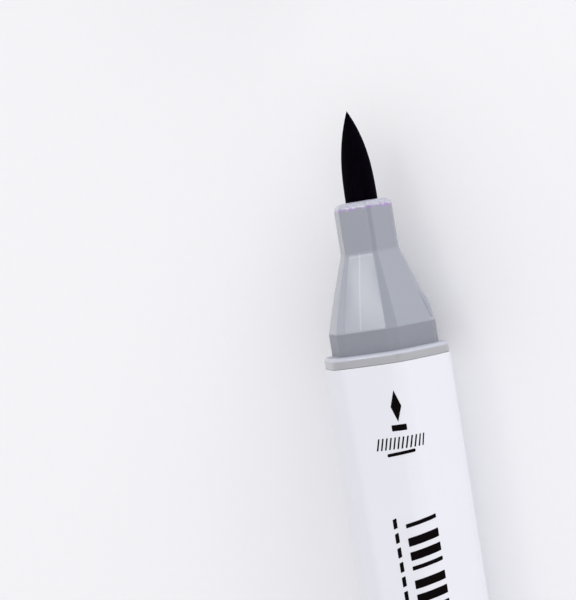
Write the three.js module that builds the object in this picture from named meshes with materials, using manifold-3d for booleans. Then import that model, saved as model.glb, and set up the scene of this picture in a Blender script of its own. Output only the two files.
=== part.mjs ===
// Felt tip marker with two tips: a hexagonal barrel with a brush nib at +Y and a chisel nib at -Y.
// Millimetres, +Z up. The marker lies on one flat of its barrel, with its axis along Y. The brush cap
// is off and lies in line in front of the brush nib; the chisel cap is on.
import * as THREE from "three";
import { mergeVertices } from "three/addons/utils/BufferGeometryUtils.js";
import Module from "manifold-3d";

const wasm = await Module();
wasm.setup();

const GAP = 0.3; // clearance kept between neighbouring pieces
const ROUND_STEPS = 40; // facets round a cylindrical surface

// Barrel: a hexagonal tube. A corner is the width of the flat that cuts a corner of the hexagon.
const BARREL_FLATS = 15;
const BARREL_LENGTH = 77.4;
const BARREL_CORNER = 1.5;
const WAIST_CORNER = 2.2; // the corners are cut wider along the grip
const WAIST_LENGTH = 28;
const BORE_FLATS = 12.9;
const BORE_CORNER = 1.3;

// Nozzles: spigot inside the barrel, collar at its end, skirt that the cap fits, flare and neck.
const SPIGOT_LENGTH = 9;
const SPIGOT_FLATS = BORE_FLATS - 2 * GAP;
const COLLAR_FLATS = 14.9;
const COLLAR_LENGTH = 1.35;
const COLLAR_EDGE = 0.3;
const SKIRT_FLATS = 12.65;
const SKIRT_CORNER = 1.5;
const SKIRT_LENGTH = 2.85;
const NECK_CORNER = 0.62;
const NECK_BEVEL = 0.6;
const BRUSH_END = { neckFlats: 6.86, flareLength: 9.5, neckLength: 6.45, nibOut: 11.3 };
const CHISEL_END = { neckFlats: 9.4, flareLength: 5, neckLength: 7.5, nibOut: 7.5 };

// Nibs. The brush nib is round; the chisel nib is a flat bar with a slanted writing edge.
const BRUSH_NIB_RADIUS = 2.02;
const BRUSH_NIB_FULLNESS = 2.65; // exponent of the nib's rounded outline
const BRUSH_NIB_STEPS = 16;
const CHISEL_NIB_WIDTH = 6.4;
const CHISEL_NIB_THICKNESS = 3.6;
const CHISEL_NIB_SLANT = 3;
const CHISEL_NIB_EDGE = 1.4; // thickness left at the writing edge
const CHISEL_NIB_TAPER = 4;
const NIB_IN_RESERVOIR = 7;

// Reservoir and its film sleeve
const RESERVOIR_RADIUS = 4.65;
const RESERVOIR_LENGTH = 80;
const FILM_WALL = 0.3;
const FILM_RADIUS = RESERVOIR_RADIUS + GAP + FILM_WALL;
const SEAT_RADIUS = FILM_RADIUS + GAP;
const SEAT_DEPTH = 2; // how far the seat reaches past the collar's back face
const FUNNEL_RADIUS = 4.7; // mouth of the funnel that leads the brush nib's stem

// Caps
const CAVITY_FLATS = SKIRT_FLATS + 2 * GAP;
const CAVITY_CORNER = 1.5;
const CAP_EDGE = 0.25;
const SEAL_WALL = 0.7;
const SEAL_LAP = 5.6; // length of neck that the seal grips on the brush end
const SEAL_FLOOR = 1.2;
const NIB_ROOM = 1; // free length between a nib's tip and the bottom of its seal
const PLUG_LENGTH = 4.4;
const PLUG_WALL = 1;
const PLUG_HEAD = 1.2;
const PLUG_EDGE = 0.4;
const CAP_OFF = 36; // distance from the brush nib's tip to the mouth of the drawn-off cap

// Places along the axis, from the middle of the barrel outwards
const COLLAR_BACK = BARREL_LENGTH / 2 + GAP;
const COLLAR_FRONT = COLLAR_BACK + COLLAR_LENGTH;
const SKIRT_END = COLLAR_FRONT + SKIRT_LENGTH;
const SPIGOT_START = COLLAR_BACK - SPIGOT_LENGTH;
const SEAT_END = COLLAR_BACK + SEAT_DEPTH;
const CAP_MOUTH = COLLAR_FRONT + GAP;
const AXIS_HEIGHT = BARREL_FLATS / 2;

const BEYOND = 1; // how far a cutting tool runs past the face that it opens

const WHITE_PLASTIC = { color: 0xefeff4, roughness: 0.35 };
const GREY_PLASTIC = { color: 0xa6aab6, roughness: 0.45 };
const PALE_PLASTIC = { color: 0xd9dbe0, roughness: 0.5 };
const INK_PLASTIC = { color: 0x33264d, roughness: 0.4 };
const INKED_FELT = { color: 0x100c16, roughness: 0.95 };
const FIBRE = { color: 0x5a4f72, roughness: 0.9 };
const FILM = { color: 0xd4dbe3, roughness: 0.25 };

// Ring of points round a hexagon with flats at the top and bottom and its six corners cut off.
function hexagonRing(flats, corner, y) {
  const halfFlat = Math.tan(Math.PI / 6) * (flats / 2 - corner);
  const points = [];
  for (let side = 0; side < 6; side++) {
    const angle = Math.PI / 2 - (side * Math.PI) / 3;
    const normal = new THREE.Vector2(Math.cos(angle), Math.sin(angle));
    const along = new THREE.Vector2(normal.y, -normal.x);
    for (const end of [-halfFlat, halfFlat]) {
      const point = normal.clone().multiplyScalar(flats / 2).addScaledVector(along, end);
      points.push(new THREE.Vector3(point.x, y, point.y));
    }
  }
  return points;
}

// Closed solid through a row of rings, from low y to high y, with a flat lid at each end.
function hexagonLoft(rings) {
  const count = rings[0].length;
  const first = new THREE.Vector3(0, rings[0][0].y, 0);
  const last = new THREE.Vector3(0, rings.at(-1)[0].y, 0);
  const vertices = [first, ...rings.flat(), last];
  const faces = [];
  const indexOf = (ring, i) => 1 + ring * count + (i % count);
  for (let i = 0; i < count; i++) {
    faces.push([0, indexOf(0, i + 1), indexOf(0, i)]);
    faces.push([vertices.length - 1, indexOf(rings.length - 1, i), indexOf(rings.length - 1, i + 1)]);
    for (let ring = 0; ring < rings.length - 1; ring++) {
      const corners = [[ring, i], [ring, i + 1], [ring + 1, i + 1], [ring + 1, i]];
      const [a, b, c, d] = corners.map(([r, n]) => indexOf(r, n));
      faces.push([a, b, c], [a, c, d]);
    }
  }
  const geometry = new THREE.BufferGeometry();
  geometry.setAttribute("position", new THREE.Float32BufferAttribute(vertices.flatMap((v) => v.toArray()), 3));
  geometry.setIndex(faces.flat());
  return geometry;
}

function hexagonPrism(flats, corner, from, to) {
  return hexagonLoft([hexagonRing(flats, corner, from), hexagonRing(flats, corner, to)]);
}

// Solid of revolution round the Y axis; the profile is a list of [radius, y].
function turned(profile) {
  return new THREE.LatheGeometry(profile.map(([r, y]) => new THREE.Vector2(r, y)), ROUND_STEPS);
}

function cylinder(radius, from, to) {
  return turned([[0, from], [radius, from], [radius, to], [0, to]]);
}

// Outline drawn in the XY plane, given a thickness centred on z = 0.
function plate(outline, thickness) {
  const shape = new THREE.Shape(outline.map(([x, y]) => new THREE.Vector2(x, y)));
  const geometry = new THREE.ExtrudeGeometry(shape, { depth: thickness, bevelEnabled: false });
  return geometry.translate(0, 0, -thickness / 2);
}

// Rectangular bar along Y.
function bar(width, thickness, from, to) {
  return new THREE.BoxGeometry(width, to - from, thickness).translate(0, (from + to) / 2, 0);
}

function solid(geometry) {
  const bare = geometry.clone();
  bare.deleteAttribute("normal");
  bare.deleteAttribute("uv");
  const merged = mergeVertices(bare);
  const vertProperties = merged.attributes.position.array;
  const triVerts = new Uint32Array(merged.index.array);
  return new wasm.Manifold(new wasm.Mesh({ numProp: 3, vertProperties, triVerts }));
}

function cut(body, ...tools) {
  return tools.reduce((left, tool) => left.subtract(solid(tool)), solid(body));
}

function piece(name, shape, finish) {
  const { vertProperties, triVerts } = shape.getMesh();
  const geometry = new THREE.BufferGeometry();
  geometry.setAttribute("position", new THREE.BufferAttribute(vertProperties, 3));
  geometry.setIndex(new THREE.BufferAttribute(triVerts, 1));
  const mesh = new THREE.Mesh(geometry, new THREE.MeshStandardMaterial({ metalness: 0, ...finish }));
  mesh.name = name;
  return mesh;
}

// Where the parts of one end lie along the axis
function stationsOf({ neckFlats, flareLength, neckLength, nibOut }) {
  const neckStart = SKIRT_END + flareLength;
  const face = neckStart + neckLength;
  return { neckFlats, neckStart, face, tip: face + nibOut };
}

function barrelShell() {
  const end = BARREL_LENGTH / 2;
  const outside = hexagonLoft([
    hexagonRing(BARREL_FLATS, BARREL_CORNER, -end),
    hexagonRing(BARREL_FLATS, WAIST_CORNER, -WAIST_LENGTH / 2),
    hexagonRing(BARREL_FLATS, WAIST_CORNER, WAIST_LENGTH / 2),
    hexagonRing(BARREL_FLATS, BARREL_CORNER, end),
  ]);
  const bore = hexagonPrism(BORE_FLATS, BORE_CORNER, -end - BEYOND, end + BEYOND);
  return piece("barrel_shell", cut(outside, bore), WHITE_PLASTIC);
}

// Outside of a nozzle, from the spigot's back end to the face that the nib comes out of
function nozzleBody({ neckFlats, neckStart, face }) {
  return hexagonLoft([
    hexagonRing(SPIGOT_FLATS, BORE_CORNER, SPIGOT_START),
    hexagonRing(SPIGOT_FLATS, BORE_CORNER, COLLAR_BACK),
    hexagonRing(COLLAR_FLATS, BARREL_CORNER, COLLAR_BACK),
    hexagonRing(COLLAR_FLATS, BARREL_CORNER, COLLAR_FRONT - COLLAR_EDGE),
    hexagonRing(COLLAR_FLATS - 2 * COLLAR_EDGE, BARREL_CORNER, COLLAR_FRONT),
    hexagonRing(SKIRT_FLATS, SKIRT_CORNER, COLLAR_FRONT),
    hexagonRing(SKIRT_FLATS, SKIRT_CORNER, SKIRT_END),
    hexagonRing(neckFlats, NECK_CORNER, neckStart),
    hexagonRing(neckFlats, NECK_CORNER, face - NECK_BEVEL),
    hexagonRing(neckFlats - 2 * NECK_BEVEL, NECK_CORNER, face),
  ]);
}

function reservoirSeat() {
  return cylinder(SEAT_RADIUS, SPIGOT_START - BEYOND, SEAT_END);
}

// The stem of the brush nib runs through a funnel that ends in a round bore.
function brushNozzle(end) {
  const boreRadius = BRUSH_NIB_RADIUS + GAP;
  const funnelEnd = SKIRT_END + BRUSH_END.flareLength * 0.7;
  const stemWay = turned([
    [0, SEAT_END - BEYOND],
    [FUNNEL_RADIUS, SEAT_END - BEYOND],
    [FUNNEL_RADIUS, SKIRT_END - BEYOND],
    [boreRadius, funnelEnd],
    [boreRadius, end.face + BEYOND],
    [0, end.face + BEYOND],
  ]);
  return piece("brush_nozzle", cut(nozzleBody(end), reservoirSeat(), stemWay), GREY_PLASTIC);
}

function chiselSlot(from, to) {
  return bar(CHISEL_NIB_WIDTH + 2 * GAP, CHISEL_NIB_THICKNESS + 2 * GAP, from, to);
}

function chiselNozzle(end) {
  const slot = chiselSlot(SEAT_END - BEYOND, end.face + BEYOND);
  return piece("chisel_nozzle", cut(nozzleBody(end), reservoirSeat(), slot), GREY_PLASTIC);
}

function brushNib(end) {
  const stemStart = RESERVOIR_LENGTH / 2 - NIB_IN_RESERVOIR;
  const profile = [[0, stemStart], [BRUSH_NIB_RADIUS, stemStart]];
  for (let step = 0; step < BRUSH_NIB_STEPS; step++) {
    const left = 1 - step / BRUSH_NIB_STEPS; // share of the exposed length still to come
    const radius = BRUSH_NIB_RADIUS * (1 - (1 - left) ** BRUSH_NIB_FULLNESS);
    profile.push([radius, end.tip - left * BRUSH_END.nibOut]);
  }
  profile.push([0, end.tip]);
  return piece("brush_nib", solid(turned(profile)), INKED_FELT);
}

// A bar whose end slants across its width and thins towards the writing edge
function chiselNib(end) {
  const start = RESERVOIR_LENGTH / 2 - NIB_IN_RESERVOIR;
  const half = CHISEL_NIB_WIDTH / 2;
  const slanted = plate(
    [[-half, start], [half, start], [half, end.tip - CHISEL_NIB_SLANT], [-half, end.tip]],
    CHISEL_NIB_THICKNESS,
  );
  const taperStart = end.tip - CHISEL_NIB_TAPER;
  const thick = CHISEL_NIB_THICKNESS / 2;
  const edge = CHISEL_NIB_EDGE / 2;
  const wedge = plate(
    [[-thick, start], [thick, start], [thick, taperStart], [edge, end.tip], [-edge, end.tip],
      [-thick, taperStart]],
    CHISEL_NIB_WIDTH + BEYOND,
  ).rotateY(Math.PI / 2);
  return piece("chisel_nib", solid(slanted).intersect(solid(wedge)), INKED_FELT);
}

// Fibre core with a blind hole at each end for the stem of a nib
function inkReservoir() {
  const end = RESERVOIR_LENGTH / 2;
  const holeDepth = NIB_IN_RESERVOIR + GAP;
  const core = cylinder(RESERVOIR_RADIUS, -end, end);
  const brushHole = cylinder(BRUSH_NIB_RADIUS + GAP, end - holeDepth, end + BEYOND);
  const chiselHole = chiselSlot(-end - BEYOND, -end + holeDepth);
  return piece("ink_reservoir", cut(core, brushHole, chiselHole), FIBRE);
}

function reservoirFilm() {
  const end = RESERVOIR_LENGTH / 2;
  const inner = FILM_RADIUS - FILM_WALL;
  const sleeve = turned([[inner, -end], [FILM_RADIUS, -end], [FILM_RADIUS, end], [inner, end], [inner, -end]]);
  return piece("reservoir_film", solid(sleeve), FILM);
}

// Where the parts of a cap lie, measured from its mouth
function capStationsOf({ neckStart, tip }, sealLap, neckEnd) {
  const sealMouth = neckEnd - sealLap - CAP_MOUTH;
  const sealBottom = tip + NIB_ROOM - CAP_MOUTH;
  const sealEnd = sealBottom + SEAL_FLOOR;
  const plugStart = sealEnd + GAP;
  return { neckStart, sealMouth, sealBottom, sealEnd, plugStart, shellEnd: plugStart + PLUG_LENGTH };
}

function capShell(name, { shellEnd }) {
  const outside = hexagonLoft([
    hexagonRing(BARREL_FLATS - 2 * CAP_EDGE, BARREL_CORNER, 0),
    hexagonRing(BARREL_FLATS, BARREL_CORNER, CAP_EDGE),
    hexagonRing(BARREL_FLATS, BARREL_CORNER, shellEnd),
  ]);
  const cavity = hexagonPrism(CAVITY_FLATS, CAVITY_CORNER, -BEYOND, shellEnd + BEYOND);
  return piece(name, cut(outside, cavity), WHITE_PLASTIC);
}

// Inner cap: a cup with a hexagonal bore that grips the neck, and a flange that fits the cavity
function capSeal(name, { sealMouth, sealBottom, sealEnd }, neckFlats) {
  const boreFlats = neckFlats + 2 * GAP;
  const cornerRadius = (boreFlats - NECK_CORNER) / Math.sqrt(3) + NECK_CORNER / 2;
  const cupRadius = Math.min(cornerRadius + SEAL_WALL, CAVITY_FLATS / 2 - GAP);
  const cup = solid(cylinder(cupRadius, sealMouth, sealEnd));
  const flange = solid(hexagonPrism(CAVITY_FLATS - 2 * GAP, CAVITY_CORNER, sealBottom, sealEnd));
  const bore = solid(hexagonPrism(boreFlats, NECK_CORNER, sealMouth - BEYOND, sealBottom));
  return piece(name, cup.add(flange).subtract(bore), PALE_PLASTIC);
}

// Colour-coded plug: a hollow foot inside the cap and a head that closes it
function capEndPlug(name, { plugStart, shellEnd }) {
  const footFlats = CAVITY_FLATS - 2 * GAP;
  const headStart = shellEnd + GAP;
  const head = headStart + PLUG_HEAD;
  const body = hexagonLoft([
    hexagonRing(footFlats, CAVITY_CORNER, plugStart),
    hexagonRing(footFlats, CAVITY_CORNER, headStart),
    hexagonRing(BARREL_FLATS, BARREL_CORNER, headStart),
    hexagonRing(BARREL_FLATS, BARREL_CORNER, head - PLUG_EDGE),
    hexagonRing(BARREL_FLATS - 2 * PLUG_EDGE, BARREL_CORNER, head),
  ]);
  const hollow = hexagonPrism(footFlats - 2 * PLUG_WALL, CAVITY_CORNER, plugStart - BEYOND, headStart - GAP);
  return piece(name, cut(body, hollow), INK_PLASTIC);
}

function cap(prefix, end, sealLap) {
  const stations = capStationsOf(end, sealLap, end.face);
  const group = new THREE.Group();
  group.add(capShell(prefix + "_cap_shell", stations));
  group.add(capSeal(prefix + "_cap_seal", stations, end.neckFlats));
  group.add(capEndPlug(prefix + "_cap_end_plug", stations));
  return group;
}

const brushEnd = stationsOf(BRUSH_END);
const chiselEnd = stationsOf(CHISEL_END);

const brushCap = cap("brush", brushEnd, SEAL_LAP);
brushCap.position.y = brushEnd.tip + CAP_OFF;

const chiselCap = cap("chisel", chiselEnd, SEAL_LAP);
chiselCap.position.y = CAP_MOUTH;

// The chisel end is built along +Y and turned to face -Y.
const chiselGroup = new THREE.Group();
chiselGroup.rotation.z = Math.PI;
chiselGroup.add(chiselNozzle(chiselEnd), chiselNib(chiselEnd), chiselCap);

const group = new THREE.Group();
group.position.z = AXIS_HEIGHT;
group.add(barrelShell(), inkReservoir(), reservoirFilm());
group.add(brushNozzle(brushEnd), brushNib(brushEnd), brushCap);
group.add(chiselGroup);

export default group;
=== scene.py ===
import math

import bmesh
import bpy
from mathutils import Matrix, Vector, noise


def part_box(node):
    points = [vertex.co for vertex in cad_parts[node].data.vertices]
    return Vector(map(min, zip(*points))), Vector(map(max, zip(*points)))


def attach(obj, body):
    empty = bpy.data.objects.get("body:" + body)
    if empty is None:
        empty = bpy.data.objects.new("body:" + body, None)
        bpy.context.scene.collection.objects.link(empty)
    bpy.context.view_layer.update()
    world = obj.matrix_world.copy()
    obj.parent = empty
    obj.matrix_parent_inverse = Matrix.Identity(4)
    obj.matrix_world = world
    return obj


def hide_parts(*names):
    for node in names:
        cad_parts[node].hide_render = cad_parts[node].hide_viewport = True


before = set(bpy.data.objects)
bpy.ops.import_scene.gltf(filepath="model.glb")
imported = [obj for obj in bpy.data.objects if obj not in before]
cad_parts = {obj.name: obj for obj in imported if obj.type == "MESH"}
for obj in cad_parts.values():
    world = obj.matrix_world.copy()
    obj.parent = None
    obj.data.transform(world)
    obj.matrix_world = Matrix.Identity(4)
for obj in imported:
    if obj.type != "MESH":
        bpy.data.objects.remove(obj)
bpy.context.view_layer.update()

MM = 0.001  # one millimetre in metres; lengths below are in millimetres unless a comment says metres

# ---------------------------------------------------------------- places from the frame


def along(node, end):
    """Where a CAD node ends along the marker, in millimetres: end 0 is its -Y end, 1 its +Y end."""
    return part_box(node)[end].y / MM


AXIS_HEIGHT = (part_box("barrel_shell")[0].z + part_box("barrel_shell")[1].z) / 2 / MM
BARREL_END = along("barrel_shell", 1)
BRUSH_FACE = along("brush_nozzle", 1)
BRUSH_TIP = along("brush_nib", 1)
CHISEL_FACE = -along("chisel_nozzle", 0)
CHISEL_TIP = -along("chisel_nib", 0)
NIB_STEM_START = along("brush_nib", 0)

# ---------------------------------------------------------------- sizes of the mouldings

SEAM = 0.03  # hairline left between fitted pieces
FIT = 0.3  # clearance of the CAD solids
BARREL_FLATS = 15.0
BARREL_CORNER = 1.5
WAIST_CORNER = 2.2
WAIST_HALF = 14.0
BARREL_EDGE = 2.4  # radius of the barrel's long edges
BORE_FLATS = 12.9
COLLAR_BACK = BARREL_END + FIT
COLLAR_FRONT = COLLAR_BACK + 1.35
COLLAR_FLATS = 14.98
COLLAR_POWER = 12  # the lower it is, the rounder the collar's corners
SKIRT_FLATS = 12.65
SKIRT_CORNER = 1.5
SKIRT_END = COLLAR_FRONT + 2.85
FLARE_CROWN = 0.08  # bulge across the flare's faces
FLARE_FULLNESS = 0.2  # width that the flare gains half way along
RIM_RADIUS = 0.95
RIM_STEPS = 7
SPIGOT_START = COLLAR_BACK - 9.0
SPIGOT_FLATS = BORE_FLATS - 2 * FIT
SPIGOT_CORNER = 1.3
SEAT_RADIUS = 5.55  # the seat holds the reservoir
SEAT_END = COLLAR_BACK + 2
CHAMBER_RADIUS = 4.7  # the room between the seat and the guide that holds the brush nib
CHAMBER_END = SKIRT_END - 1
GUIDE_START = SKIRT_END + 7
MOUTH_BEVEL = 0.12
SLOT_FLARE = 0.2  # how much wider the chisel slot is at its mouth
BRUSH_NECK = {"flats": 6.86, "corner": 0.62, "start": SKIRT_END + 9.5, "face": BRUSH_FACE}
CHISEL_NECK = {"flats": 9.4, "corner": 0.9, "start": SKIRT_END + 5.0, "face": CHISEL_FACE}
NIB_RADIUS = 2.02
NIB_OUT = BRUSH_TIP - BRUSH_FACE + 0.1
NIB_LEAN = 0.11  # sideways reach of the worn tip
NIB_FULLNESS = 2.65  # power of the nib's profile: the higher it is, the fuller the nib
STEM_BEVEL = 0.15
CHISEL_WIDTH = 6.4
CHISEL_THICKNESS = 3.6
CHISEL_SLANT = 3.0
CHISEL_TAPER = 4.0
CHISEL_EDGE = 1.4  # thickness of its writing edge
CHISEL_BEVEL_START = 0.42  # share of the shaped length at which the nib starts to thin
CHISEL_STEPS = 14
CAVITY_FLATS = SKIRT_FLATS + 2 * FIT
CAVITY_CORNER = 1.5
CAVITY_EDGE = 0.9

SIDE_ANGLES = [math.radians(90 - 60 * side) for side in range(6)]
EDGE_STEPS = 4  # facets in each rounded edge
CROWN_SHARES = (0.12, 0.3, 0.5, 0.7, 0.88)  # places of the points added along each side

# ---------------------------------------------------------------- outlines and skins


def rounded(points, radius, steps=EDGE_STEPS):
    """The closed outline with each corner replaced by a short curve."""
    out = []
    for i, point in enumerate(points):
        before = points[i - 1] - point
        after = points[(i + 1) % len(points)] - point
        turn = math.pi - before.angle(after)
        reach = min(radius * math.tan(turn / 2), 0.45 * before.length, 0.45 * after.length)
        start = point + before.normalized() * reach
        end = point + after.normalized() * reach
        for step in range(steps + 1):
            t = step / steps
            out.append(start * (1 - t) ** 2 + point * (2 * t * (1 - t)) + end * t**2)
    return out


def hexagon(flats, corner, radius=0.5, crown=0.0):
    """Outline of a hexagon with flats at the top and bottom, its corners cut by flats of width corner.

    Each side bulges by crown.
    """
    half_flat = math.tan(math.radians(30)) * (flats / 2 - corner)
    points = []
    for angle in SIDE_ANGLES:
        normal = Vector((math.cos(angle), math.sin(angle)))
        tangent = Vector((normal.y, -normal.x))
        points.append(normal * (flats / 2) - tangent * half_flat)
        points.append(normal * (flats / 2) + tangent * half_flat)
    curved = rounded(points, radius)
    out = []
    for side in range(6):
        out += curved[side * 2 * (EDGE_STEPS + 1):(side * 2 + 1) * (EDGE_STEPS + 1)]
        start = out[-1]
        end = curved[(side * 2 + 1) * (EDGE_STEPS + 1)]
        outwards = (start + end).normalized()
        for share in CROWN_SHARES:
            out.append(start.lerp(end, share) + outwards * crown * 4 * share * (1 - share))
        out += curved[(side * 2 + 1) * (EDGE_STEPS + 1):(side * 2 + 2) * (EDGE_STEPS + 1)]
    return out


def rounder_beside(outline, flats, power):
    """A hexagon with wide round corners and as many points as an outline has, evenly spread.

    The first one lies in the direction of the outline's first, and they go the same way round.
    """
    first = math.atan2(outline[0].y, outline[0].x)
    out = []
    for i in range(len(outline)):
        angle = first - 2 * math.pi * i / len(outline)
        d = Vector((math.cos(angle), math.sin(angle)))
        reaches = [d.dot(Vector((math.cos(a), math.sin(a)))) * 2 / flats for a in SIDE_ANGLES]
        out.append(d * sum(max(0, reach) ** power for reach in reaches) ** (-1 / power))
    return out


def circle_beside(outline, radius):
    """A circle with one point in the direction of each point of an outline."""
    return [point.normalized() * radius for point in outline]


def rectangle_beside(outline, width, thickness, power=14):
    """A rounded rectangle with one point in the direction of each point of an outline."""
    out = []
    for point in outline:
        d = point.normalized()
        reach = (abs(d.x * 2 / width) ** power + abs(d.y * 2 / thickness) ** power) ** (-1 / power)
        out.append(d * reach)
    return out


def ring(outline, y):
    """An outline set across the marker at a place along it."""
    return [(point.x, y, point.y) for point in outline]


def station(y, flats, corner, edge=0.35, fillet=0.0, crown=0.0, power=0):
    """One place along a hexagonal moulding.

    Edge rounds the outline's corners; fillet rounds the profile at this place. A power replaces the
    cut corners with wide round ones: the lower it is, the rounder they are.
    """
    return Vector((y, flats, corner, edge)), fillet, crown, power


def softened(stations, steps=5):
    """Rows of (y, outline) through the stations, with each fillet replaced by a curve."""
    rows = []
    for i, (here, fillet, crown, power) in enumerate(stations):
        places = [here]
        if fillet:
            before = stations[i - 1][0] - here
            after = stations[(i + 1) % len(stations)][0] - here
            slope_before = Vector((before.x, before.y / 2))
            slope_after = Vector((after.x, after.y / 2))
            reach = fillet * math.tan((math.pi - slope_before.angle(slope_after)) / 2)
            start = here + before * min(reach / slope_before.length, 0.48)
            end = here + after * min(reach / slope_after.length, 0.48)
            shares = [step / steps for step in range(steps + 1)]
            places = [start * (1 - t) ** 2 + here * (2 * t * (1 - t)) + end * t**2 for t in shares]
        for y, flats, corner, edge in places:
            outline = hexagon(flats, corner, edge, crown)
            rows.append((y, rounder_beside(outline, flats, power) if power else outline))
    return rows


def rings_through(stations):
    return [ring(outline, y) for y, outline in softened(stations)]


def mesh_object(name, vertices, faces):
    """An object from vertices in millimetres about the marker's axis."""
    mesh = bpy.data.meshes.new(name)
    mesh.from_pydata([(x * MM, y * MM, (z + AXIS_HEIGHT) * MM) for x, y, z in vertices], [], faces)
    mesh.validate()
    mesh.update()
    made = bpy.data.objects.new(name, mesh)
    bpy.context.scene.collection.objects.link(made)
    return made


def skin(name, rings, closed=False):
    """A closed mesh through a row of rings. A closed row joins its last ring to its first."""
    count = len(rings[0])
    vertices = [point for row in rings for point in row]
    faces = []
    for row in range(len(rings) if closed else len(rings) - 1):
        lower = row * count
        upper = (row + 1) % len(rings) * count
        for i in range(count):
            j = (i + 1) % count
            faces.append((lower + i, lower + j, upper + j, upper + i))
    if not closed:
        for row, flip in ((0, True), (len(rings) - 1, False)):
            centre = sum((Vector(point) for point in rings[row]), Vector()) / count
            vertices.append(tuple(centre))
            for i in range(count):
                a = row * count + i
                b = row * count + (i + 1) % count
                faces.append((len(vertices) - 1, b, a) if flip else (len(vertices) - 1, a, b))
    made = mesh_object(name, vertices, faces)
    face_outwards(made)
    return made


def face_outwards(made):
    bm = bmesh.new()
    bm.from_mesh(made.data)
    bmesh.ops.recalc_face_normals(bm, faces=bm.faces)
    bm.to_mesh(made.data)
    bm.free()


def smooth(made, angle=40):
    """Smooth shading in which the large faces stay flat."""
    made.data.shade_smooth()
    made.data.set_sharp_from_angle(angle=math.radians(angle))
    weighted = made.modifiers.new("weighted", "WEIGHTED_NORMAL")
    weighted.keep_sharp = True
    weighted.weight = 60
    return made


def turned_to_chisel_end(made):
    """Turns a piece built towards +Y half round the vertical axis."""
    made.data.transform(Matrix.Rotation(math.pi, 4, "Z"))
    return made


# ---------------------------------------------------------------- materials


class Shade:
    """A procedural material: a Principled shader and the nodes that feed it."""

    def __init__(self, name, roughness, specular=0.5):
        self.material = bpy.data.materials.new(name)
        self.material.use_nodes = True
        self.nodes = self.material.node_tree.nodes
        self.links = self.material.node_tree.links
        self.shader = self.nodes["Principled BSDF"]
        self.shader.inputs["Roughness"].default_value = roughness
        self.shader.inputs["Specular IOR Level"].default_value = specular
        self.place = self.add("ShaderNodeTexCoord").outputs["Object"]

    def add(self, kind, **settings):
        node = self.nodes.new(kind)
        for key, value in settings.items():
            setattr(node, key, value)
        return node

    def link(self, source, target):
        self.links.new(source, target)

    def scaled(self, x, y, z):
        mapping = self.add("ShaderNodeMapping")
        mapping.inputs["Scale"].default_value = (x, y, z)
        self.link(self.place, mapping.inputs["Vector"])
        return mapping.outputs["Vector"]

    def noise(self, scale, detail=3, stretch=(1, 1, 1)):
        """Noise with features about 1/scale metres across."""
        node = self.add("ShaderNodeTexNoise")
        node.inputs["Scale"].default_value = scale
        node.inputs["Detail"].default_value = detail
        self.link(self.scaled(*stretch), node.inputs["Vector"])
        return node.outputs["Fac"]

    def number(self, operation, a, b=0.0, c=0.0):
        node = self.add("ShaderNodeMath", operation=operation)
        for socket, value in zip(node.inputs, (a, b, c)):
            if isinstance(value, (int, float)):
                socket.default_value = value
            else:
                self.link(value, socket)
        return node.outputs[0]

    def ramp(self, value, low, high):
        """0 below low, 1 above high, smooth in between."""
        node = self.add("ShaderNodeMapRange", interpolation_type="SMOOTHSTEP")
        node.inputs["From Min"].default_value = low
        node.inputs["From Max"].default_value = high
        self.link(value, node.inputs["Value"])
        return node.outputs["Result"]

    def ramp_at(self, value, place, reach):
        """A ramp within reach of a place, both in millimetres. With a negative reach it falls."""
        return self.ramp(value, (place - reach) * MM, (place + reach) * MM)

    def blend(self, factor, first, second):
        """A colour between two; each is a colour or a socket."""
        node = self.add("ShaderNodeMix", data_type="RGBA")
        self.link(factor, node.inputs[0])
        for socket, value in ((node.inputs[6], first), (node.inputs[7], second)):
            if isinstance(value, tuple):
                socket.default_value = (*value, 1)
            else:
                self.link(value, socket)
        return node.outputs[2]

    def colour(self, value):
        if isinstance(value, tuple):
            self.shader.inputs["Base Color"].default_value = (*value, 1)
        else:
            self.link(value, self.shader.inputs["Base Color"])

    def roughness(self, value):
        self.link(value, self.shader.inputs["Roughness"])

    def bump(self, height, distance, strength=1.0):
        """Relief of about the given depth in millimetres."""
        node = self.add("ShaderNodeBump")
        node.inputs["Distance"].default_value = distance * MM
        node.inputs["Strength"].default_value = strength
        self.link(height, node.inputs["Height"])
        self.link(node.outputs["Normal"], self.shader.inputs["Normal"])

    def axes(self):
        split = self.add("ShaderNodeSeparateXYZ")
        self.link(self.place, split.inputs[0])
        return split.outputs


GLOSS_SPREAD = 0.08  # how much the roughness of a moulding varies


def tinted(colour, factor):
    """A colour made lighter or darker."""
    return tuple(min(1, channel * factor) for channel in colour)


def moulded_plastic(name, colour, roughness, mottle=0.03, subsurface=0.0, specular=0.5):
    """Injection-moulded plastic: slightly uneven colour and gloss over a faint orange-peel surface."""
    shade = Shade(name, roughness, specular)
    cloudy = shade.noise(220, 4)
    shade.colour(shade.blend(cloudy, tinted(colour, 1 - mottle), tinted(colour, 1 + mottle)))
    fine = shade.noise(2600, 2)
    shade.roughness(shade.number("MULTIPLY_ADD", fine, GLOSS_SPREAD, roughness - GLOSS_SPREAD / 2))
    shade.bump(shade.noise(900, 2), 0.004, 0.5)
    shade.shader.inputs["Subsurface Weight"].default_value = subsurface
    shade.shader.inputs["Subsurface Radius"].default_value = (1.0, 0.9, 0.8)
    shade.shader.inputs["Subsurface Scale"].default_value = 0.8 * MM
    return shade


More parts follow.
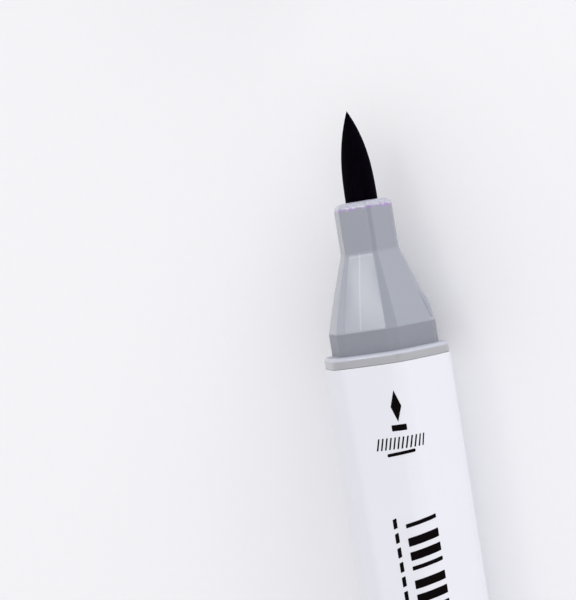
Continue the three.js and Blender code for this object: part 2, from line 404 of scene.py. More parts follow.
WHITE = (0.760, 0.760, 0.813)
GREY = (0.285, 0.299, 0.345)
# painted light: the flare is painted lighter than the neck, as its faces tilt towards the light
FLARE_LIT_GREY = (0.318, 0.336, 0.388)
# painted shade: the skirt, one moulding with the neck, is painted darker for the dimmer light it catches
SKIRT_SHADED_GREY = (0.236, 0.247, 0.286)
COLLAR_GREY = (0.375, 0.375, 0.393)
# painted highlight along the collar's rounded front edge
COLLAR_EDGE_HIGHLIGHT = (0.50, 0.52, 0.59)
# painted highlight: the fine pale line down the flare
LINE_HIGHLIGHT_GREY = (0.41, 0.425, 0.475)
# painted highlight: the rounded rim round the nib is painted lighter, speckled between two tones as wear
RIM_SHEEN_GREY = (0.42, 0.42, 0.50)
RIM_SHEEN_PALE = (0.50, 0.50, 0.59)
PALE = (0.66, 0.67, 0.70)
INK_VIOLET = (0.055, 0.030, 0.115)
STAIN_VIOLET = (0.37, 0.19, 0.56)
NIB_DARK = (0.0007, 0.0003, 0.0012)
NIB_LIGHT = (0.0022, 0.0010, 0.0042)
INK_DARK = (0.0022, 0.0012, 0.0017)
INK_LIGHT = (0.0048, 0.0032, 0.0038)
FIBRE_DARK = (0.05, 0.03, 0.1)
FIBRE_LIGHT = (0.14, 0.1, 0.24)
FILM_DARK = (0.66, 0.7, 0.76)
FILM_LIGHT = (0.74, 0.78, 0.84)
PAPER_DARK = (0.87, 0.867, 0.885)
PAPER_LIGHT = (0.885, 0.882, 0.90)
CARD_DARK = (0.20, 0.20, 0.21)
CARD_LIGHT = (0.22, 0.22, 0.23)


def white_plastic():
    """The plastic of the barrel and of both caps."""
    return moulded_plastic("white_plastic", WHITE, 0.32, mottle=0.012, subsurface=0.08).material


LINE_SLANT = 0.042  # sideways for each millimetre along the marker
LINE_START = -2.35  # the sideways place that its slant gives at y 0
LINE_HALF_WIDTHS = (0.03, 0.13)  # from its middle: where it starts to fade, and where it has gone


def line_highlight(shade):
    """A painted highlight: a fine pale line along the upper face of the brush end's flare, nearly in its
    middle.
    """
    x, y, z = shade.axes()
    slanted = shade.number("MULTIPLY_ADD", y, -LINE_SLANT, -LINE_START * MM)
    off_line = shade.number("ABSOLUTE", shade.number("ADD", x, slanted))
    core, fade = LINE_HALF_WIDTHS
    across = shade.ramp(off_line, fade * MM, core * MM)
    above = shade.ramp(z, AXIS_HEIGHT * MM, (AXIS_HEIGHT + 1) * MM)
    start = shade.ramp_at(y, SKIRT_END + 0.25, 0.15)
    end = shade.ramp_at(y, BRUSH_NECK["start"], -0.3)
    upper_line = shade.number("MULTIPLY", across, above)
    return shade.number("MULTIPLY", upper_line, shade.number("MULTIPLY", start, end))


RIM_WOBBLE = 1.1  # how far the uneven edges of the rim's painted highlight and of its ink stain stray, end to end
STAIN_STRENGTH = 0.6
SKIRT_SATIN = 0.5  # roughness that the skirt has above that of the rest


def nozzle_plastic():
    """Grey plastic with ink smeared on the rim that the brush nib comes out of.

    The skirt is painted darker than the neck as painted shade, and the flare lighter as painted light;
    the collar is a lighter grey, with a painted highlight along its front edge. A fine pale line down
    the flare is a painted highlight, and the rim round the nib is painted lighter, a painted highlight
    speckled with wear. The skirt is satin.
    """
    shade = moulded_plastic("nozzle_plastic", GREY, 0.18, mottle=0.02, subsurface=0.2, specular=1.0)
    cloudy = shade.shader.inputs["Base Color"].links[0].from_socket
    y = shade.axes()[1]
    from_middle = shade.number("ABSOLUTE", y)
    past_collar = shade.ramp_at(from_middle, COLLAR_FRONT - 0.01, 0.05)
    past_skirt = shade.ramp_at(from_middle, SKIRT_END, 0.12)
    past_flare = shade.ramp_at(y, BRUSH_NECK["start"] + 0.05, 0.3)
    # painted shade: the skirt is given a darker grey than the rest of the moulding
    skirt = shade.blend(past_collar, COLLAR_GREY, SKIRT_SHADED_GREY)
    # painted light: the flare is given a lighter grey than the neck
    grey = shade.blend(past_skirt, skirt, shade.blend(past_flare, FLARE_LIT_GREY, cloudy))
    wobble = shade.number("MULTIPLY_ADD", shade.noise(1500, 3), RIM_WOBBLE * MM, -RIM_WOBBLE / 2 * MM)
    uneven = shade.number("ADD", y, wobble)
    at_rim = shade.ramp_at(uneven, BRUSH_FACE - 0.825, 0.175)
    # painted highlight: a lighter band along the collar's rounded front edge
    highlight_from = shade.ramp_at(from_middle, COLLAR_FRONT - 0.4, 0.1)
    highlight_to = shade.ramp_at(from_middle, COLLAR_FRONT + 0.03, 0.03)
    edge_highlighted = shade.blend(shade.number("SUBTRACT", highlight_from, highlight_to), grey, COLLAR_EDGE_HIGHLIGHT)
    # painted highlight: the fine pale line down the flare
    line_highlighted = shade.blend(line_highlight(shade), edge_highlighted, LINE_HIGHLIGHT_GREY)
    # painted highlight on the rim round the nib, speckled between two tones as wear
    rim_sheen_and_wear = shade.blend(shade.ramp(shade.noise(3600, 3), 0.4, 0.6), RIM_SHEEN_GREY, RIM_SHEEN_PALE)
    base = shade.blend(at_rim, line_highlighted, rim_sheen_and_wear)
    near_rim = shade.ramp_at(uneven, BRUSH_FACE - 1.025, 0.075)
    past_rim = shade.ramp_at(uneven, BRUSH_FACE - 0.775, 0.075)
    patches = shade.ramp(shade.noise(1300, 3, (1, 0.8, 1)), 0.40, 0.52)
    stained = shade.number("MULTIPLY", shade.number("SUBTRACT", near_rim, past_rim), patches)
    amount = shade.number("MULTIPLY", stained, STAIN_STRENGTH)
    shade.colour(shade.blend(amount, base, STAIN_VIOLET))
    gloss = shade.shader.inputs["Roughness"].links[0].from_socket
    on_skirt = shade.number("SUBTRACT", past_collar, past_skirt)
    shade.roughness(shade.number("MULTIPLY_ADD", on_skirt, SKIRT_SATIN, gloss))
    return shade.material


def seal_plastic():
    """The pale, duller plastic of the inner caps."""
    return moulded_plastic("seal_plastic", PALE, 0.5, mottle=0.02, subsurface=0.15).material


def plug_plastic():
    """The plastic of the end plugs, in the colour of the ink."""
    return moulded_plastic("plug_plastic", INK_VIOLET, 0.34, mottle=0.05).material


def inked_felt():
    """Fine fibres laid along the nib, soaked in dark ink."""
    shade = Shade("inked_felt", 0.9, 0.03)
    fibres = shade.noise(5200, 4, (1, 0.06, 1))
    patches = shade.noise(700, 3, (1, 0.4, 1))
    mixed = shade.number("MULTIPLY", fibres, patches)
    shade.colour(shade.blend(shade.ramp(mixed, 0.16, 0.42), NIB_DARK, NIB_LIGHT))
    shade.roughness(shade.number("MULTIPLY_ADD", patches, 0.2, 0.78))
    shade.bump(fibres, 0.02, 0.8)
    return shade.material


def print_ink():
    """Matt black ink, printed on the barrel."""
    shade = Shade("print_ink", 0.8, 0.03)
    shade.colour(shade.blend(shade.noise(3000, 3), INK_DARK, INK_LIGHT))
    shade.bump(shade.noise(4000, 2), 0.003, 0.5)
    return shade.material


def reservoir_fibre():
    """Bundled fibre, its strands running along the marker."""
    shade = Shade("reservoir_fibre", 0.85, 0.2)
    strands = shade.noise(2500, 4, (1, 0.03, 1))
    shade.colour(shade.blend(strands, FIBRE_DARK, FIBRE_LIGHT))
    shade.bump(strands, 0.05)
    return shade.material


def film_plastic():
    """Clear-looking pale film, slightly rippled, round the reservoir."""
    shade = Shade("film_plastic", 0.2, 0.5)
    shade.colour(shade.blend(shade.noise(300, 3), FILM_DARK, FILM_LIGHT))
    shade.bump(shade.noise(150, 2, (1, 4, 1)), 0.03)
    return shade.material


MATERIALS = {
    "barrel_plastic": white_plastic(),
    "nozzle_plastic": nozzle_plastic(),
    "seal_plastic": seal_plastic(),
    "plug_plastic": plug_plastic(),
    "inked_felt": inked_felt(),
    "print_ink": print_ink(),
}
MATERIALS["cap_plastic"] = MATERIALS["barrel_plastic"]


def finish_piece(made, body, slot, *nodes):
    """Gives a piece its material, its body and its slot, and hides the CAD nodes that it stands for."""
    made.data.materials.append(MATERIALS[slot])
    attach(made, body)
    if nodes:
        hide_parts(*nodes)
    return made


# ---------------------------------------------------------------- barrel


def barrel_corner(y):
    """Width of the flats that cut the barrel's corners; they widen towards the grip."""
    share = min(1, (COLLAR_BACK - abs(y)) / (COLLAR_BACK - WAIST_HALF))
    return BARREL_CORNER + (WAIST_CORNER - BARREL_CORNER) * share


def barrel():
    """The white tube, its corners cut wider along the grip, rounded over at its ends."""
    end = COLLAR_BACK - SEAM
    rings = rings_through([
        station(-end, BORE_FLATS, BARREL_CORNER, BARREL_EDGE),
        station(-end, BARREL_FLATS, BARREL_CORNER, BARREL_EDGE, fillet=0.14),
        station(-WAIST_HALF, BARREL_FLATS, WAIST_CORNER, BARREL_EDGE),
        station(WAIST_HALF, BARREL_FLATS, WAIST_CORNER, BARREL_EDGE),
        station(end, BARREL_FLATS, BARREL_CORNER, BARREL_EDGE, fillet=0.14),
        station(end, BORE_FLATS, BARREL_CORNER, BARREL_EDGE),
    ])
    made = skin("barrel_tube", rings, closed=True)
    return finish_piece(smooth(made), "barrel", "barrel_plastic", "barrel_shell")


# ---------------------------------------------------------------- nozzles


PLAIN_OUTLINE = hexagon(SKIRT_FLATS, SKIRT_CORNER, 0.35)  # the bores have a point beside each of its


def flare_station(neck, share):
    """A place on the flare, at a share of its length from the skirt to the neck."""
    skirt = Vector((SKIRT_END, SKIRT_FLATS, SKIRT_CORNER))
    y, flats, corner = skirt.lerp(Vector((neck["start"], neck["flats"], neck["corner"])), share)
    fullness = FLARE_FULLNESS * 4 * share * (1 - share)
    return station(y, flats + fullness, corner, crown=FLARE_CROWN)


def rim_stations(neck):
    """A quarter round from the neck to the face that the nib comes out of."""
    out = []
    for step in range(RIM_STEPS + 1):
        angle = math.pi / 2 * step / RIM_STEPS
        y = neck["face"] - RIM_RADIUS * (1 - math.sin(angle))
        flats = neck["flats"] - 2 * RIM_RADIUS * (1 - math.cos(angle))
        out.append(station(y, flats, neck["corner"], edge=0.4))
    return out


def nozzle_rings(neck):
    """The outside of a nozzle, from the spigot inside the barrel to the rim of its face."""
    return rings_through([
        station(SPIGOT_START, SPIGOT_FLATS, SPIGOT_CORNER),
        station(COLLAR_BACK, SPIGOT_FLATS, SPIGOT_CORNER),
        station(COLLAR_BACK, COLLAR_FLATS, SKIRT_CORNER, fillet=0.08, power=COLLAR_POWER),
        station(COLLAR_FRONT, COLLAR_FLATS, SKIRT_CORNER, fillet=0.5, power=COLLAR_POWER),
        station(COLLAR_FRONT, SKIRT_FLATS, SKIRT_CORNER, fillet=0.1),
        station(SKIRT_END, SKIRT_FLATS, SKIRT_CORNER, fillet=0.9),
        *[flare_station(neck, share) for share in (0.25, 0.5, 0.75)],
        station(neck["start"], neck["flats"], neck["corner"], fillet=3.0),
        *rim_stations(neck),
    ])


def brush_nozzle():
    """The grey moulding of the brush end, with the round bore that holds the nib."""
    rings = nozzle_rings(BRUSH_NECK)
    bore = NIB_RADIUS + SEAM
    for radius, y in (
        (bore + MOUTH_BEVEL, BRUSH_FACE),
        (bore, BRUSH_FACE - MOUTH_BEVEL),
        (bore, GUIDE_START),
        (CHAMBER_RADIUS, CHAMBER_END),
        (CHAMBER_RADIUS, SEAT_END),
        (SEAT_RADIUS, SEAT_END),
        (SEAT_RADIUS, SPIGOT_START),
    ):
        rings.append(ring(circle_beside(PLAIN_OUTLINE, radius), y))
    made = skin("brush_nozzle_moulding", rings, closed=True)
    return finish_piece(smooth(made), "barrel", "nozzle_plastic", "brush_nozzle")


PIP_PLACE = 0.255  # share of the flare's length
PIP_DEPTH = 0.67  # how far its middle lies inside the edge of the flare
PIP_RADII = (0.8, 2.2, 0.72)  # outwards, along the marker and upwards
PIP_RINGS = 16
PIP_SIDES = 24
PIP_POLE = 0.01  # share of its length left flat at each end


def snap_pip():
    """A low raised pip on the side of the flare, which the cap clicks over."""
    flats = SKIRT_FLATS + PIP_PLACE * (BRUSH_NECK["flats"] - SKIRT_FLATS)
    reach = flats / math.sqrt(3) - PIP_DEPTH
    y = SKIRT_END + PIP_PLACE * (BRUSH_NECK["start"] - SKIRT_END)
    slope = (SKIRT_FLATS - BRUSH_NECK["flats"]) / math.sqrt(3) / (BRUSH_NECK["start"] - SKIRT_END)
    outwards, lengthwise, upwards = PIP_RADII
    rings = []
    for step in range(PIP_RINGS + 1):
        polar = math.pi * (PIP_POLE + (1 - 2 * PIP_POLE) * step / PIP_RINGS)
        along_flare = lengthwise * math.cos(polar)
        across = math.sin(polar)
        row = []
        for i in range(PIP_SIDES):
            angle = 2 * math.pi * i / PIP_SIDES
            row.append((
                reach + outwards * across * math.cos(angle) + slope * along_flare,
                y - along_flare,
                upwards * across * math.sin(angle),
            ))
        rings.append(row)
    return finish_piece(smooth(skin("snap_pip", rings)), "barrel", "nozzle_plastic")


def chisel_nozzle():
    """The grey moulding of the chisel end, with its flat slot."""
    rings = nozzle_rings(CHISEL_NECK)
    width = CHISEL_WIDTH + 2 * SEAM
    thickness = CHISEL_THICKNESS + 2 * SEAM
    slot = rectangle_beside(PLAIN_OUTLINE, width, thickness)
    slot_mouth = rectangle_beside(PLAIN_OUTLINE, width + SLOT_FLARE, thickness + SLOT_FLARE)
    seat = circle_beside(PLAIN_OUTLINE, SEAT_RADIUS)
    rings += [
        ring(slot_mouth, CHISEL_FACE),
        ring(slot, CHISEL_FACE - MOUTH_BEVEL),
        ring(slot, SEAT_END),
        ring(seat, SEAT_END),
        ring(seat, SPIGOT_START),
    ]
    made = turned_to_chisel_end(skin("chisel_nozzle_moulding", rings, closed=True))
    return finish_piece(smooth(made), "barrel", "nozzle_plastic", "chisel_nozzle")


# ---------------------------------------------------------------- nibs


NIB_SIDES = 72
NIB_STEPS = 44
NIB_TIP_PLACE = 0.9985  # share of the exposed length at which the blunt tip ends
FIBRE_RELIEF = 0.012
FIBRES_ROUND = 15  # noise features across the nib's radius
FIBRES_ALONG = 3.75  # noise features along the exposed length


def nib_radius(place, angle):
    """Radius at a share of the exposed length, 0 at the face and 1 at the tip, with fibres in relief."""
    plain = NIB_RADIUS * (1 - place**NIB_FULLNESS)
    at = Vector((math.cos(angle) * FIBRES_ROUND, math.sin(angle) * FIBRES_ROUND, place * FIBRES_ALONG))
    return plain + FIBRE_RELIEF * noise.noise(at) * min(1, plain)


def brush_nib():
    """A brush of felt on a round stem, its tip leaning a little to one side."""
    angles = [2 * math.pi * i / NIB_SIDES for i in range(NIB_SIDES)]
    rings = []
    for y, radius in (
        (NIB_STEM_START, NIB_RADIUS - STEM_BEVEL),
        (NIB_STEM_START + STEM_BEVEL, NIB_RADIUS),
    ):
        rings.append([(radius * math.cos(angle), y, radius * math.sin(angle)) for angle in angles])
    for step in range(NIB_STEPS + 1):
        place = min(1 - (1 - step / NIB_STEPS) ** 1.5, NIB_TIP_PLACE)
        y = BRUSH_FACE + NIB_OUT * place
        lean = NIB_LEAN * place**5
        row = []
        for angle in angles:
            radius = nib_radius(place, angle)
            row.append((radius * math.cos(angle) - lean, y, radius * math.sin(angle)))
        rings.append(row)
    made = skin("brush_nib_felt", rings)
    return finish_piece(smooth(made), "barrel", "inked_felt", "brush_nib")


def chisel_nib():
    """A flat bar of felt, slanted across its width and thinned to its writing edge."""
    section = rectangle_beside(PLAIN_OUTLINE, CHISEL_WIDTH, CHISEL_THICKNESS)
    shaped = CHISEL_TAPER + CHISEL_SLANT
    rings = [ring(section, NIB_STEM_START), ring(section, CHISEL_TIP - shaped)]
    for step in range(1, CHISEL_STEPS + 1):
        share = step / CHISEL_STEPS
        past_bevel = max(0, (share - CHISEL_BEVEL_START) / (1 - CHISEL_BEVEL_START))
        thinning = 1 - (1 - CHISEL_EDGE / CHISEL_THICKNESS) * past_bevel**1.1
        narrowing = 1 - 0.02 * past_bevel**6
        row = []
        for point in section:
            slant = CHISEL_SLANT * (0.5 + point.x / CHISEL_WIDTH) * share**1.4
            y = CHISEL_TIP - shaped * (1 - share) - slant
            row.append((point.x * narrowing, y, point.y * thinning))
        rings.append(row)
    made = turned_to_chisel_end(skin("chisel_nib_felt", rings))
    return finish_piece(smooth(made), "barrel", "inked_felt", "chisel_nib")


# ---------------------------------------------------------------- caps


CAP_NECKS = {"brush": BRUSH_NECK, "chisel": CHISEL_NECK}
BEAD_START = 1.2  # from the mouth of the cap
BEAD_STEP = 0.4  # length of each of the bead's slopes, and of its top
BEAD_HEIGHT = 0.06
SEAL_WALL = 0.7
SEAL_FLANGE = 1.2  # thickness of its flange
SEAL_EDGE = 0.12  # bevel of its flange
PLUG_NARROWING = 2.0  # how much narrower the plug's hollow is than its foot
DISH_DEPTH = 0.35
DISH_FLATS = (BARREL_FLATS - 3.4, BARREL_FLATS - 4.1)  # at its edge and at its floor
DISH_MIDDLE = 2.0  # flats of the small outline that closes its floor


def span(prefix, part):
    """Where a part of a cap starts and ends, measured outwards from the middle of the barrel."""
    node = prefix + "_cap_" + part
    ends = [along(node, 0), along(node, 1)]
    return ends if prefix == "brush" else [-ends[1], -ends[0]]


def placed(made, prefix):
    """A piece of a cap, turned to the cap's own end."""
    return made if prefix == "brush" else turned_to_chisel_end(made)


def cap_shell(prefix):
    """Hexagonal tube with a rounded mouth and a low snap bead just inside it."""
    start, shell_end = span(prefix, "shell")
    end = shell_end + FIT - SEAM
    bead = start + BEAD_START
    bead_flats = CAVITY_FLATS - 2 * BEAD_HEIGHT
    rings = rings_through([
        station(start + 1.0, CAVITY_FLATS, CAVITY_CORNER, CAVITY_EDGE),
        station(start, CAVITY_FLATS, CAVITY_CORNER, CAVITY_EDGE, fillet=0.2),
        station(start, BARREL_FLATS, BARREL_CORNER, BARREL_EDGE, fillet=0.3),
        station(end, BARREL_FLATS, BARREL_CORNER, BARREL_EDGE, fillet=0.1),
        station(end, CAVITY_FLATS, CAVITY_CORNER, CAVITY_EDGE),
        station(bead + 3 * BEAD_STEP, CAVITY_FLATS, CAVITY_CORNER, CAVITY_EDGE, fillet=0.2),
        station(bead + 2 * BEAD_STEP, bead_flats, CAVITY_CORNER, CAVITY_EDGE, fillet=0.3),
        station(bead + BEAD_STEP, bead_flats, CAVITY_CORNER, CAVITY_EDGE, fillet=0.3),
        station(bead, CAVITY_FLATS, CAVITY_CORNER, CAVITY_EDGE, fillet=0.2),
    ])
    made = placed(skin(prefix + "_cap_tube", rings, closed=True), prefix)
    return finish_piece(smooth(made), prefix + "_cap", "cap_plastic", prefix + "_cap_shell")


def cap_seal(prefix):
    """Inner cap: a cup that grips the neck, with a flange that sits in the tube."""
    start, end = span(prefix, "seal")
    bore_flats = CAP_NECKS[prefix]["flats"] + 2 * FIT
    corner = 0.5
    corner_radius = (bore_flats - corner) / math.sqrt(3) + corner / 2
    cup = min(corner_radius + SEAL_WALL, CAVITY_FLATS / 2 - FIT)
    bore = hexagon(bore_flats, corner, 0.3)
    mouth = [point * 1.05 for point in bore]
    flange = hexagon(CAVITY_FLATS - 2 * FIT, CAVITY_CORNER, 0.4)
    flange_face = [point * 0.985 for point in flange]
    base = end - SEAL_FLANGE
    rings = [
        ring(circle_beside(bore, 0.4), base),
        ring(bore, base),
        ring(bore, start + 0.35),
        ring(mouth, start),
        ring(circle_beside(bore, cup - 0.15), start),
        ring(circle_beside(bore, cup), start + 0.15),
        ring(circle_beside(flange, cup), base),
        ring(flange_face, base),
        ring(flange, base + SEAL_EDGE),
        ring(flange, end - SEAL_EDGE),
        ring(flange_face, end),
    ]
    made = placed(skin(prefix + "_cap_seal_cup", rings), prefix)
    return finish_piece(smooth(made), prefix + "_cap", "seal_plastic", prefix + "_cap_seal")


def cap_plug(prefix):
    """Colour-coded plug with a shallow hexagonal dish in its head."""
    start, end = span(prefix, "end_plug")
    head = span(prefix, "shell")[1] + FIT
    foot_flats = CAVITY_FLATS - 2 * FIT
    hollow_flats = foot_flats - PLUG_NARROWING
    dish_edge, dish_floor = DISH_FLATS
    rings = rings_through([
        station(head - FIT, hollow_flats, CAVITY_CORNER),
        station(start, hollow_flats, CAVITY_CORNER, fillet=0.1),
        station(start, foot_flats, CAVITY_CORNER, fillet=0.1),
        station(head, foot_flats, CAVITY_CORNER),
        station(head, BARREL_FLATS, BARREL_CORNER, BARREL_EDGE, fillet=0.1),
        station(end, BARREL_FLATS, BARREL_CORNER, BARREL_EDGE, fillet=0.55),
        station(end, dish_edge, BARREL_CORNER, edge=0.9, fillet=0.15),
        station(end - DISH_DEPTH, dish_floor, BARREL_CORNER, edge=0.9, fillet=0.15),
        station(end - DISH_DEPTH, DISH_MIDDLE, 0.4, edge=0.1),
    ])
    made = placed(skin(prefix + "_cap_plug", rings), prefix)
    return finish_piece(smooth(made), prefix + "_cap", "plug_plastic", prefix + "_cap_end_plug")


# ---------------------------------------------------------------- print


INK_THICKNESS = 0.02
PRINT_RISE = 0.018
PRINT_STEP = 0.2  # widest strip of a print, so that it follows the barrel's curves


def surface_path(y):
    """The upper right quarter of the barrel's outline, from the middle of the top flat outwards."""
    outline = hexagon(BARREL_FLATS, barrel_corner(y), BARREL_EDGE)
    right = [point for point in outline if point.x > 0 and point.y > 0]
    right.sort(key=lambda point: math.atan2(point.x, point.y))
    return [Vector((0, BARREL_FLATS / 2))] + right


def on_barrel(across, y, lift):
    """The point at a distance across the surface from the middle of the top flat, lifted off it."""
    side = 1 if across >= 0 else -1
    path = surface_path(y)
    left = abs(across)
    for a, b in zip(path, path[1:]):
        step = b - a
        if left <= step.length:
            normal = Vector((-step.y, step.x)).normalized()
            point = a + step.normalized() * left
            point += (normal if normal.dot(point) > 0 else -normal) * lift
            return side * point.x * MM, y * MM, (point.y + AXIS_HEIGHT) * MM
        left -= step.length
    raise ValueError("the print runs off the upper half of the barrel")


def add_patch(bm, outline):
    """Adds a film of ink to a mesh, flat for now: x across the barrel, y along it, z 0 or 1."""
    flat = bmesh.new()
    flat.faces.new([flat.verts.new((x, y, 0)) for x, y in outline])
    low = min(x for x, _ in outline)
    high = max(x for x, _ in outline)
    strips = int((high - low) / PRINT_STEP)
    for i in range(1, strips):
        x = low + (high - low) * i / strips
        whole = flat.verts[:] + flat.edges[:] + flat.faces[:]
        bmesh.ops.bisect_plane(flat, geom=whole, plane_co=(x, 0, 0), plane_no=(1, 0, 0))
    grown = bmesh.ops.extrude_face_region(flat, geom=flat.faces[:])
    for v in grown["geom"]:
        if isinstance(v, bmesh.types.BMVert):
            v.co.z = 1
    piece = bpy.data.meshes.new("patch")
    flat.to_mesh(piece)
    flat.free()
    bm.from_mesh(piece)
    bpy.data.meshes.remove(piece)


def printed(name, outlines, turned=False):
    """Films of ink on the barrel. Each outline is a list of (across, along) in millimetres."""
    bm = bmesh.new()
    for outline in outlines:
        add_patch(bm, outline)
    for v in bm.verts:
        v.co = Vector(on_barrel(v.co.x, v.co.y, PRINT_RISE - INK_THICKNESS * (1 - v.co.z)))
    bmesh.ops.recalc_face_normals(bm, faces=bm.faces[:])
    mesh = bpy.data.meshes.new(name)
    bm.to_mesh(mesh)
    bm.free()
    made = bpy.data.objects.new(name, mesh)
    bpy.context.scene.collection.objects.link(made)
    if turned:
        turned_to_chisel_end(made)
    return finish_piece(made, "barrel", "print_ink")


def slab(centre, width, start, length, slant=0.0, radius=0.1):
    """Outline of a bar across the barrel; slant shifts its right side along the axis."""
    half = width / 2
    corners = [
        Vector((centre - half, start - slant / 2)),
        Vector((centre + half, start + slant / 2)),
        Vector((centre + half, start - length + slant / 2)),
        Vector((centre - half, start - length - slant / 2)),
    ]
    return [tuple(point) for point in rounded(corners, radius)]


PICTOGRAM_ACROSS = 2.85
PICTOGRAM_TOP = 35.7
LOZENGE_LENGTH = 3.9
LOZENGE_WAIST = 2.0  # from its top to its widest place
HATCH_TOP = 29.95
HATCH_START = -0.5
HATCH_WIDTH = 5.9
HATCH_HEIGHT = 1.45
HATCH_STROKE = 0.2
HATCH_LEAN = 0.4
HATCH_SPREAD = 0.6  # the width and the lean of a stroke together
HATCH_COUNT = 12


def hatch():
    """A band of short slanted strokes."""
    low, high = HATCH_TOP - HATCH_HEIGHT, HATCH_TOP
    out = []
    for i in range(HATCH_COUNT):
        foot = HATCH_START + i * HATCH_WIDTH / (HATCH_COUNT - 1)
        lower = [(foot, low), (foot + HATCH_STROKE, low)]
        upper = [(foot + HATCH_SPREAD, high), (foot + HATCH_LEAN, high)]
        out.append(lower + upper)
    return out


def pictogram(name, half_width, skew, turned):
    """A lozenge over a bar, a band of slanted strokes and a second bar: a plain mark for one end."""
    x, top = PICTOGRAM_ACROSS, PICTOGRAM_TOP
    right = (x + half_width, top - LOZENGE_WAIST - skew)
    left = (x - half_width, top - LOZENGE_WAIST + skew)
    lozenge = [(x + skew, top), right, (x - skew, top - LOZENGE_LENGTH), left]
    upper_bar = slab(centre=x, width=1.9, start=top - 4.25, length=0.75)
    lower_bar = slab(centre=2.6, width=3.6, start=28.15, length=0.4, slant=0.3, radius=0.15)
    printed(name, [lozenge, upper_bar, lower_bar, *hatch()], turned)


def pictograms():
    """The slim lozenge marks the brush end and the broad slanted one the chisel end."""
    pictogram("brush_pictogram", 0.68, 0.0, False)
    pictogram("chisel_pictogram", 0.85, 0.5, True)


LONG_PRINT_TOP = 20.0
BAR_PITCH = 1.75
BAR_COUNT = 21
WIDE_BAR = 1.05
THIN_BAR = 0.5
DASH_PITCH = 1.8
DASH_COUNT = 20


def long_print():
    """A row of slanted bars along the ridge, with a line of dashes beside it."""
    bars = []
    for i in range(BAR_COUNT):
        start = LONG_PRINT_TOP - 0.4 - i * BAR_PITCH
        length = WIDE_BAR if i % 3 else THIN_BAR
        bars.append(slab(centre=3.72, width=4.0, start=start, length=length, slant=0.8))
    dashes = []
    for i in range(DASH_COUNT):
        start = LONG_PRINT_TOP - i * DASH_PITCH
        dashes.append(slab(centre=0.37, width=0.5, start=start, length=1.2, slant=0.2, radius=0.06))
    printed("slanted_bars", bars)
    printed("dashes", dashes)


# ---------------------------------------------------------------- studio


FLOOR_HALF = 3.0  # metres
SQUARE = ((-1, -1), (1, -1), (1, 1), (-1, 1))


def four_sided(name, corners, shade):
    """A flat piece of the studio, its corners in metres."""
    mesh = bpy.data.meshes.new(name)
    mesh.from_pydata(corners, [], [(0, 1, 2, 3)])
    made = bpy.data.objects.new(name, mesh)
    bpy.context.scene.collection.objects.link(made)
    made.data.materials.append(shade.material)
    return made


def floor():
    """A sheet of pale paper under the marker."""
    shade = Shade("paper", 0.75, 0.2)
    shade.colour(shade.blend(shade.noise(900, 4), PAPER_DARK, PAPER_LIGHT))
    shade.bump(shade.noise(2500, 3), 0.01, 0.3)
    four_sided("floor", [(x * FLOOR_HALF, y * FLOOR_HALF, 0) for x, y in SQUARE], shade)


LIGHT_TARGET = Vector((0, 0.04, 0.008))  # metres, near the brush end of the barrel


def area_light(name, direction, distance, size, power, mirrored=True):
    """A soft box, aimed at the brush end from a direction and a distance in metres.

    A soft box that is not mirrored lights the marker without showing in its glossy surfaces.
    """
    data = bpy.data.lights.new(name, "AREA")
    data.shape = "RECTANGLE"
    data.size, data.size_y = size
    data.energy = power
    made = bpy.data.objects.new(name, data)
    towards = Vector(direction).normalized()
    made.location = LIGHT_TARGET + towards * distance
    made.rotation_euler = (-towards).to_track_quat("-Z", "Y").to_euler()
    made.visible_glossy = mirrored
    bpy.context.scene.collection.objects.link(made)


def world_light(colour, strength):
    """An even dome of light."""
    world = bpy.data.worlds.new("studio")
    world.use_nodes = True
    background = world.node_tree.nodes["Background"]
    background.inputs["Color"].default_value = (*colour, 1)
    background.inputs["Strength"].default_value = strength
    bpy.context.scene.world = world


CARD_DIRECTION = (0.60, 0.33, 0.70)
CARD_DISTANCE = 0.6  # metres, from the brush end
CARD_HALF = 0.25  # metres


def dark_card():
    """A grey card over the marker's right side. Only reflections see it: it keeps the ridges dark."""
    towards = Vector(CARD_DIRECTION).normalized()
    turn = (-towards).to_track_quat("-Z", "Y").to_matrix()
    middle = LIGHT_TARGET + towards * CARD_DISTANCE
    corners = [middle + turn @ Vector((x, y, 0)) * CARD_HALF for x, y in SQUARE]
    shade = Shade("card", 0.9, 0.1)
    shade.colour(shade.blend(shade.noise(9), CARD_DARK, CARD_LIGHT))
    made = four_sided("dark_card", corners, shade)
    made.visible_camera = False
    made.visible_diffuse = False
    made.visible_transmission = False
    made.visible_shadow = False


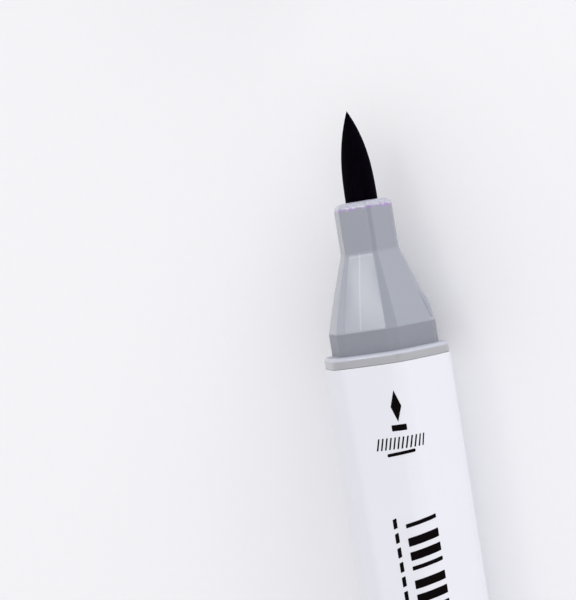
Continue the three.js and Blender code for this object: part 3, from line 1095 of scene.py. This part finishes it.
CAMERA_DISTANCE = 0.270  # metres, from the collar of the brush end
CAMERA_LEAN_RIGHT = math.radians(19.5)
CAMERA_LEAN_FORWARD = math.radians(3.2)
CAMERA_ROLL = math.radians(9.1)
CAMERA_AIM = (-11.92, 48.25)  # sideways and along the marker, at the height of its axis
CAMERA_LENS = 129.0


def camera():
    """Looks down on the brush end, leaning to the marker's right and a little towards the nib."""
    lean, forward = CAMERA_LEAN_RIGHT, CAMERA_LEAN_FORWARD
    towards = Vector((
        math.sin(lean) * math.cos(forward),
        math.sin(forward),
        math.cos(lean) * math.cos(forward),
    ))
    collar = Vector((0, COLLAR_FRONT, AXIS_HEIGHT)) * MM
    location = collar + towards * CAMERA_DISTANCE
    aim = Vector((*CAMERA_AIM, AXIS_HEIGHT)) * MM
    back = (location - aim).normalized()
    up = Vector((0, 1, 0))
    up = (up - back * up.dot(back)).normalized()
    up.rotate(Matrix.Rotation(-CAMERA_ROLL, 3, back))
    right = up.cross(back)
    data = bpy.data.cameras.new("camera")
    data.lens = CAMERA_LENS
    data.clip_start = 0.01
    data.clip_end = 20
    made = bpy.data.objects.new("camera", data)
    turn = Matrix((right, up, back)).transposed().to_4x4()
    made.matrix_world = Matrix.Translation(location) @ turn
    bpy.context.scene.collection.objects.link(made)
    bpy.context.scene.camera = made


# ---------------------------------------------------------------- the scene


camera()
barrel()
brush_nozzle()
snap_pip()
brush_nib()
chisel_nozzle()
chisel_nib()
for cap_name in CAP_NECKS:
    cap_shell(cap_name)
    cap_seal(cap_name)
    cap_plug(cap_name)
pictograms()
long_print()

for node_name, look in (("ink_reservoir", reservoir_fibre()), ("reservoir_film", film_plastic())):
    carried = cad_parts[node_name].data.materials
    carried.clear()
    carried.append(look)

floor()
dark_card()
world_light((0.985, 0.985, 1.0), 0.93)
area_light("key", (-0.32, 0.515, 0.79), 1.0, (0.19, 0.27), 0.45)
area_light("right", (0.70, 0.62, 0.34), 1.0, (0.9, 0.4), 3.0, mirrored=False)
area_light("left", (-0.90, 0.44, 0.17), 1.1, (0.46, 0.32), 0.2)
bpy.context.scene.view_settings.view_transform = "Standard"
